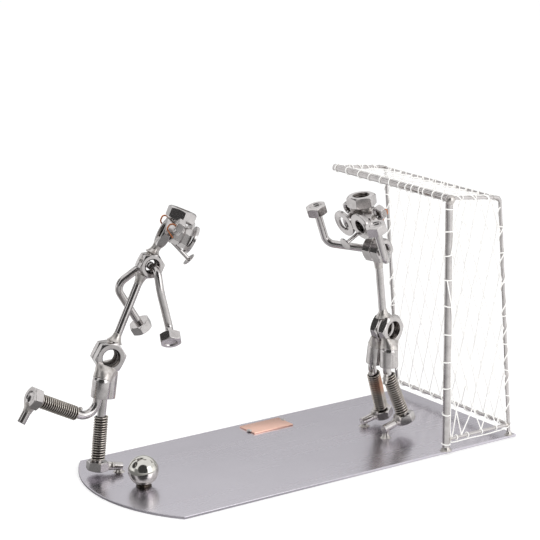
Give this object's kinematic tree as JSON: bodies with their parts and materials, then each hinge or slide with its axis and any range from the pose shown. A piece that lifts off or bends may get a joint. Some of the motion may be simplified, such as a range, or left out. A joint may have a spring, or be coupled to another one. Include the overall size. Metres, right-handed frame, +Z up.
{
  "type": "welded steel penalty kick sculpture",
  "caption": "Desk sculpture of a penalty kick: a kicker, a ball and a goalkeeper in a netted goal, welded from nuts, washers, springs and rods on a thin steel plate.",
  "frame": {"origin": "centre of the 250 mm by 110 mm base plate's underside", "axes": "+X along the plate from the kicker to the goal, +Y across the plate away from the goal's one front post, +Z up"},
  "size_m": [0.2887, 0.1107, 0.1515],
  "materials": {
    "nut_steel": "bright plated steel, lightly worn",
    "rod_steel": "bright drawn rod",
    "plate_steel": "satin rolled sheet",
    "spring_steel": "bright spring wire",
    "copper": "satin copper",
    "string": "thin white cord"
  },
  "bodies": {
    "root": {"back_bottom_bar": "rod_steel", "back_top_bar": "rod_steel", "ball": "nut_steel", "base_plate": "plate_steel", "crossbar": "rod_steel", "far_back_post": "rod_steel", "far_top_rod": "rod_steel", "keeper_arm_left": "rod_steel", "keeper_arm_right": "rod_steel", "keeper_ear_nut_left": "nut_steel", "keeper_ear_nut_right": "nut_steel", "keeper_eye_left": "nut_steel", "keeper_eye_right": "nut_steel", "keeper_head_nut": "nut_steel", "keeper_hip_nut_left": "nut_steel", "keeper_hip_nut_right": "nut_steel", "keeper_leg_left": "rod_steel", "keeper_leg_right": "rod_steel", "keeper_neck": "nut_steel", "keeper_nose_nail": "nut_steel", "keeper_shoulder_nut_left": "nut_steel", "keeper_shoulder_nut_right": "nut_steel", "keeper_spine": "rod_steel", "keeper_spring_left": "spring_steel", "keeper_spring_right": "spring_steel", "keeper_thigh_left": "nut_steel", "keeper_thigh_right": "nut_steel", "keeper_wire_left": "copper", "keeper_wire_right": "copper", "kicker_arm_left": "rod_steel", "kicker_arm_right": "rod_steel", "kicker_ear_nut_left": "nut_steel", "kicker_ear_nut_right": "nut_steel", "kicker_eye_left": "nut_steel", "kicker_eye_right": "nut_steel", "kicker_head_nut": "nut_steel", "kicker_hip_nut_left": "nut_steel", "kicker_hip_nut_right": "nut_steel", "kicker_leg_left": "rod_steel", "kicker_leg_right": "rod_steel", "kicker_neck": "nut_steel", "kicker_nose_nail": "nut_steel", "kicker_shoulder_nut_left": "nut_steel", "kicker_shoulder_nut_right": "nut_steel", "kicker_spine": "rod_steel", "kicker_spring_left": "spring_steel", "kicker_spring_right": "spring_steel", "kicker_thigh_left": "nut_steel", "kicker_thigh_right": "nut_steel", "kicker_wire_left": "copper", "kicker_wire_right": "copper", "near_back_post": "rod_steel", "near_bottom_bar": "rod_steel", "near_post": "rod_steel", "near_top_rod": "rod_steel", "net_back": "string", "net_side": "string", "net_top": "string", "plaque": "copper"}
  },
  "joints": []
}
